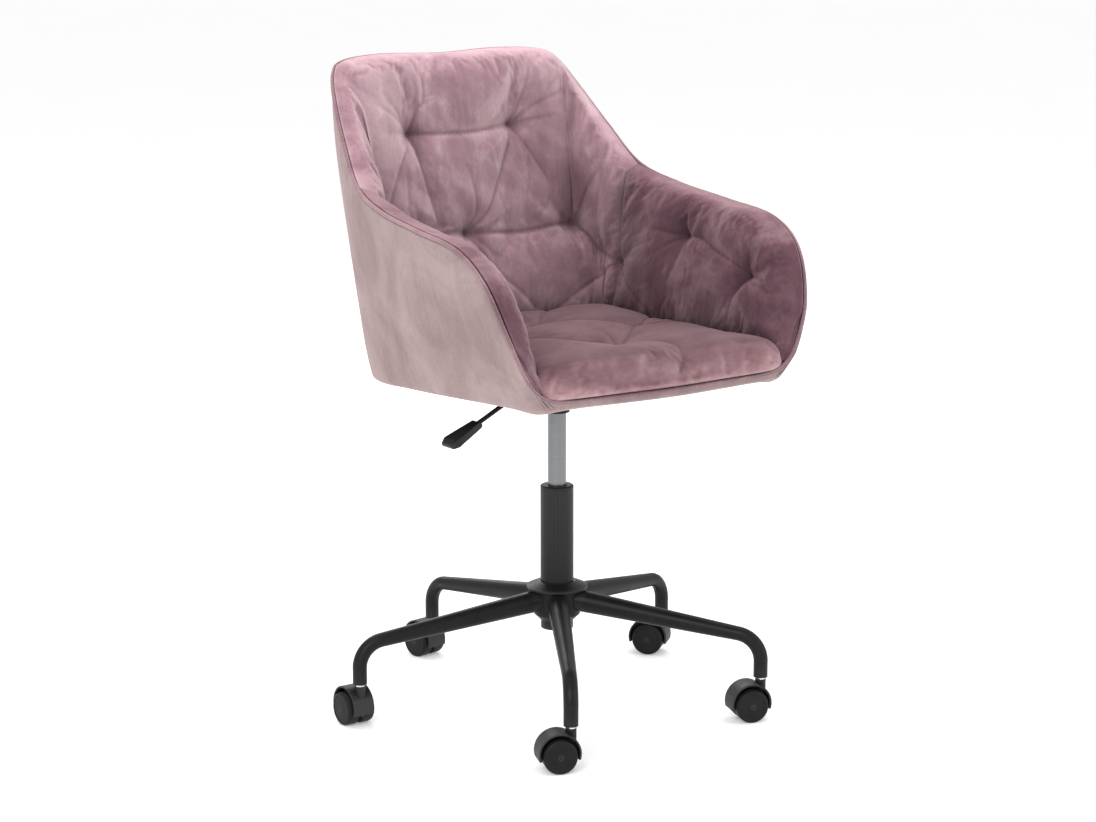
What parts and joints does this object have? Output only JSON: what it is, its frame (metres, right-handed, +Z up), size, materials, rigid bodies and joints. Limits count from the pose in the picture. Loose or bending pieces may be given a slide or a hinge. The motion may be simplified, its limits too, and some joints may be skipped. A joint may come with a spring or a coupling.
{
  "type": "salon swivel armchair",
  "caption": "Low tub armchair with tufted velvet back, arms and seat on a swivelling gas lift and a star base with hooded twin-wheel casters.",
  "frame": {"origin": "on the floor under the column's axis", "axes": "+Z up, the seat faces -Y, +X to the sitter's left"},
  "size_m": [0.6369, 0.6552, 0.966],
  "materials": {
    "velvet": "short-pile dusty-rose velvet",
    "piping": "velvet-covered cord",
    "lining": "thin black non-woven cloth",
    "black_steel": "satin black powder coat",
    "black_plastic": "fine-grained black nylon",
    "grip_plastic": "smooth black",
    "white_plastic": "plain",
    "bright_steel": "bright plated",
    "tube_steel": "ground finish",
    "zinc": "zinc plated",
    "stop_rubber": "matte",
    "plywood": "bare plywood"
  },
  "bodies": {
    "base": {"base_hub": "black_steel", "leg_1": "black_steel", "leg_2": "black_steel", "leg_3": "black_steel", "leg_4": "black_steel", "leg_5": "black_steel", "stem_sockets": "black_plastic", "caster_stems": "bright_steel", "grip_rings": "zinc", "column_tube": "black_steel", "column_bush": "black_plastic", "bearing_lower_race": "bright_steel", "bearing_balls": "bright_steel"},
    "rod": {"piston_rod": "bright_steel", "rod_clip": "zinc", "bump_stop": "stop_rubber", "bearing_upper_race": "bright_steel"},
    "seat": {"gas_cylinder": "tube_steel", "mechanism_plate": "black_steel", "taper_socket": "black_steel", "lever_pin": "tube_steel", "mount_bolts": "zinc", "mount_washers": "zinc", "tee_nuts": "zinc", "seat_board": "plywood", "dust_cover": "lining", "shell_frame": "zinc", "frame_screws": "zinc", "outer_cover": "velvet", "back_cushion": "velvet", "arm_cushion_left": "velvet", "arm_cushion_right": "velvet", "seat_cushion": "velvet", "rim_piping": "piping", "tuft_washers": "white_plastic"},
    "lever": {"lever_rod": "black_steel", "lever_handle": "grip_plastic"},
    "release": {"release_pin": "tube_steel"},
    "caster_1_fork": {"caster_1_hood": "black_plastic", "caster_1_axle": "bright_steel"},
    "caster_1_left": {"caster_1_wheel_left": "black_plastic"},
    "caster_1_right": {"caster_1_wheel_right": "black_plastic"},
    "caster_2_fork": {"caster_2_hood": "black_plastic", "caster_2_axle": "bright_steel"},
    "caster_2_left": {"caster_2_wheel_left": "black_plastic"},
    "caster_2_right": {"caster_2_wheel_right": "black_plastic"},
    "caster_3_fork": {"caster_3_hood": "black_plastic", "caster_3_axle": "bright_steel"},
    "caster_3_left": {"caster_3_wheel_left": "black_plastic"},
    "caster_3_right": {"caster_3_wheel_right": "black_plastic"},
    "caster_4_fork": {"caster_4_hood": "black_plastic", "caster_4_axle": "bright_steel"},
    "caster_4_left": {"caster_4_wheel_left": "black_plastic"},
    "caster_4_right": {"caster_4_wheel_right": "black_plastic"},
    "caster_5_fork": {"caster_5_hood": "black_plastic", "caster_5_axle": "bright_steel"},
    "caster_5_left": {"caster_5_wheel_left": "black_plastic"},
    "caster_5_right": {"caster_5_wheel_right": "black_plastic"}
  },
  "joints": [
    {"name": "seat_swivel", "type": "hinge", "parent": "base", "child": "rod", "pos_m": [0, 0, 0.13], "axis": [0, 0, 1], "continuous": true},
    {"name": "seat_lift", "type": "slide", "parent": "rod", "child": "seat", "axis": [0, 0, 1], "range_m": [-0.09, 0.01]},
    {"name": "lever_lift", "type": "hinge", "parent": "seat", "child": "lever", "pos_m": [-0.03, 0, 0.4906], "axis": [0, 1, 0], "range_deg": [0, 6], "stiffness_Nm_per_rad": 2},
    {"name": "release_press", "type": "slide", "parent": "seat", "child": "release", "axis": [0, 0, -1], "range_m": [0, 0.0036]},
    {"name": "caster_1_swivel", "type": "hinge", "parent": "base", "child": "caster_1_fork", "pos_m": [-0.16308, -0.26716, 0.055], "axis": [0, 0, 1], "continuous": true},
    {"name": "caster_1_roll_left", "type": "hinge", "parent": "caster_1_fork", "child": "caster_1_left", "pos_m": [-0.18069, -0.26004, 0.025], "axis": [-0.3746, -0.9272, 0], "continuous": true},
    {"name": "caster_1_roll_right", "type": "hinge", "parent": "caster_1_fork", "child": "caster_1_right", "pos_m": [-0.18069, -0.26004, 0.025], "axis": [-0.3746, -0.9272, 0], "continuous": true},
    {"name": "caster_2_swivel", "type": "hinge", "parent": "base", "child": "caster_2_fork", "pos_m": [0.20369, -0.23765, 0.055], "axis": [0, 0, 1], "continuous": true},
    {"name": "caster_2_roll_left", "type": "hinge", "parent": "caster_2_fork", "child": "caster_2_left", "pos_m": [0.18562, -0.23178, 0.025], "axis": [-0.309, -0.9511, 0], "continuous": true},
    {"name": "caster_2_roll_right", "type": "hinge", "parent": "caster_2_fork", "child": "caster_2_right", "pos_m": [0.18562, -0.23178, 0.025], "axis": [-0.309, -0.9511, 0], "continuous": true},
    {"name": "caster_3_swivel", "type": "hinge", "parent": "base", "child": "caster_3_fork", "pos_m": [0.28896, 0.12028, 0.055], "axis": [0, 0, 1], "continuous": true},
    {"name": "caster_3_roll_left", "type": "hinge", "parent": "caster_3_fork", "child": "caster_3_left", "pos_m": [0.27675, 0.13484, 0.025], "axis": [-0.766, -0.6428, 0], "continuous": true},
    {"name": "caster_3_roll_right", "type": "hinge", "parent": "caster_3_fork", "child": "caster_3_right", "pos_m": [0.27675, 0.13484, 0.025], "axis": [-0.766, -0.6428, 0], "continuous": true},
    {"name": "caster_4_swivel", "type": "hinge", "parent": "base", "child": "caster_4_fork", "pos_m": [-0.0251, 0.31199, 0.055], "axis": [0, 0, 1], "continuous": true},
    {"name": "caster_4_roll_left", "type": "hinge", "parent": "caster_4_fork", "child": "caster_4_left", "pos_m": [-0.0284, 0.3307, 0.025], "axis": [-0.9848, -0.1736, 0], "continuous": true},
    {"name": "caster_4_roll_right", "type": "hinge", "parent": "caster_4_fork", "child": "caster_4_right", "pos_m": [-0.0284, 0.3307, 0.025], "axis": [-0.9848, -0.1736, 0], "continuous": true},
    {"name": "caster_5_swivel", "type": "hinge", "parent": "base", "child": "caster_5_fork", "pos_m": [-0.30448, 0.07254, 0.055], "axis": [0, 0, 1], "continuous": true},
    {"name": "caster_5_roll_left", "type": "hinge", "parent": "caster_5_fork", "child": "caster_5_left", "pos_m": [-0.30448, 0.09154, 0.025], "axis": [-1, 0, 0], "continuous": true},
    {"name": "caster_5_roll_right", "type": "hinge", "parent": "caster_5_fork", "child": "caster_5_right", "pos_m": [-0.30448, 0.09154, 0.025], "axis": [-1, 0, 0], "continuous": true}
  ],
  "couplings": [
    {"joint": "release_press", "follows": "lever_lift", "m_per_rad": 0.034}
  ]
}
